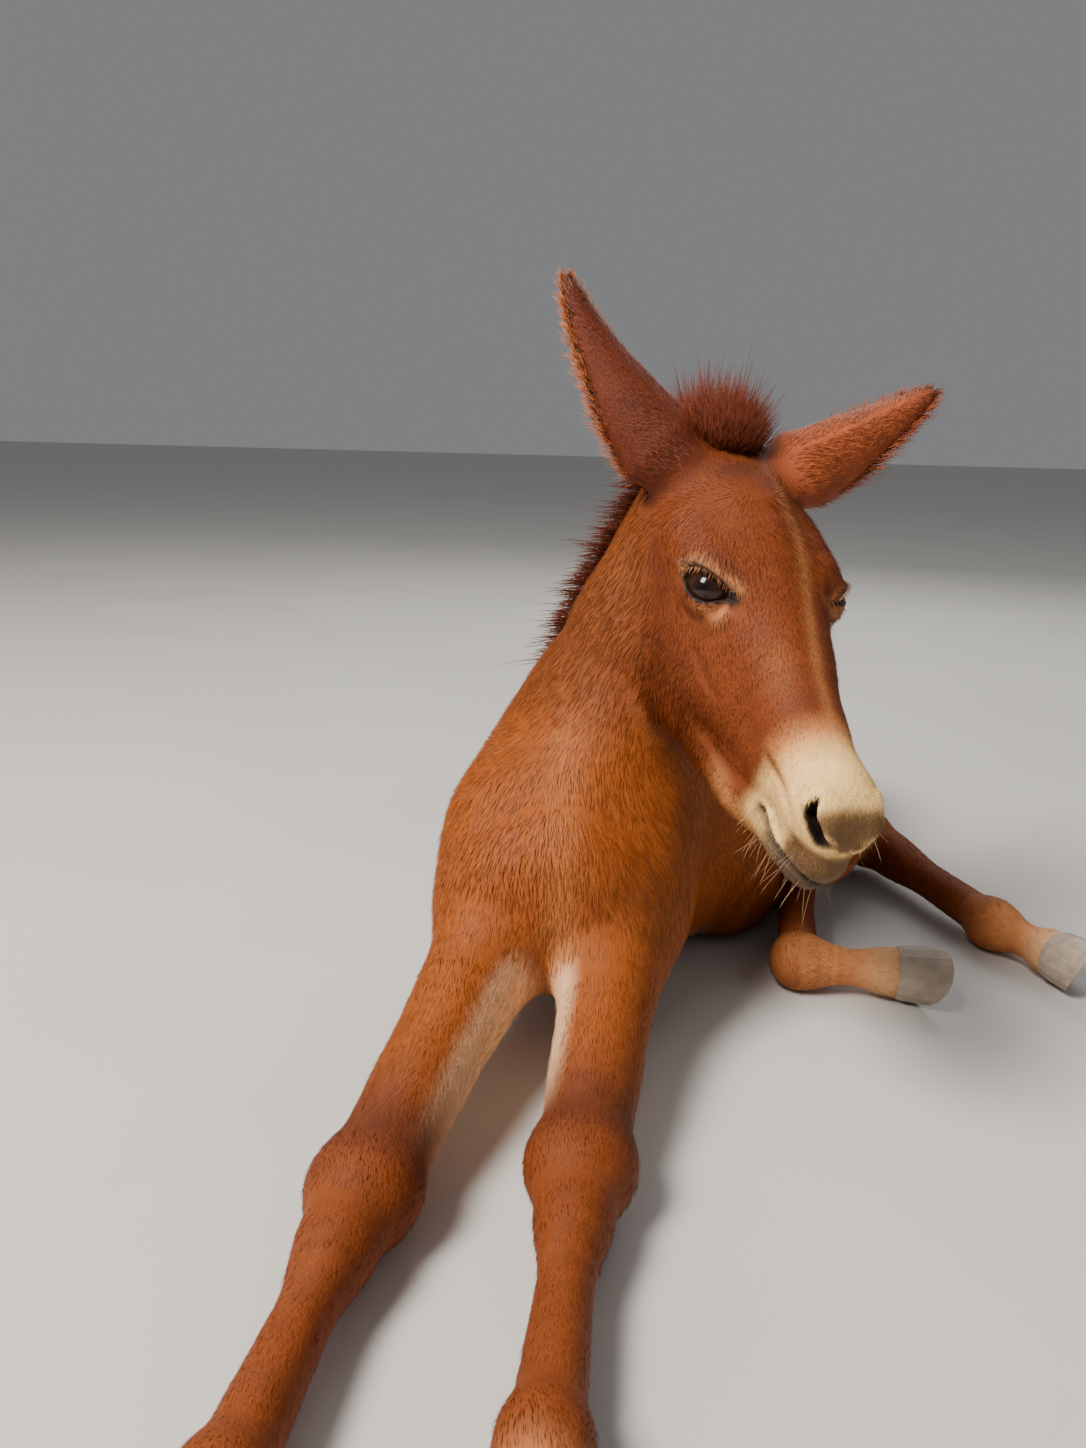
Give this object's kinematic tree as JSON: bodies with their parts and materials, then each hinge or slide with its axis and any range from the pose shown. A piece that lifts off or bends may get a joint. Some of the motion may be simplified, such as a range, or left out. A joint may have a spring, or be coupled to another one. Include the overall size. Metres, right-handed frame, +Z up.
{
  "type": "mule foal model",
  "caption": "Life-size still model of a chestnut mule foal lying on its chest, head up, fore legs stretched out in front and hind legs folded to one side.",
  "frame": {"origin": "middle of the footprint's bounding box, on the floor", "axes": "+Z up, the animal faces -Y, its own left side is towards +X"},
  "size_m": [0.7524, 1.359, 0.649],
  "materials": {
    "coat": "short chestnut coat",
    "dark_hair": "dark red-brown hair of ears and tail",
    "eye": "wet, dark brown",
    "hoof": "smooth grey horn"
  },
  "bodies": {
    "root": {"torso": "coat", "neck": "coat", "head": "coat", "eye_right": "eye", "eye_left": "eye", "ear_right": "dark_hair", "ear_left": "dark_hair", "foreleg_right_upper": "coat", "foreleg_right_lower": "coat", "foreleg_right_pastern": "coat", "hoof_fore_right": "hoof", "foreleg_left_upper": "coat", "foreleg_left_lower": "coat", "foreleg_left_pastern": "coat", "hoof_fore_left": "hoof", "hindleg_right_upper": "coat", "hindleg_right_lower": "coat", "hindleg_right_pastern": "coat", "hoof_hind_right": "hoof", "hindleg_left_upper": "coat", "hindleg_left_lower": "coat", "hindleg_left_pastern": "coat", "hoof_hind_left": "hoof", "tail": "dark_hair"}
  },
  "joints": []
}
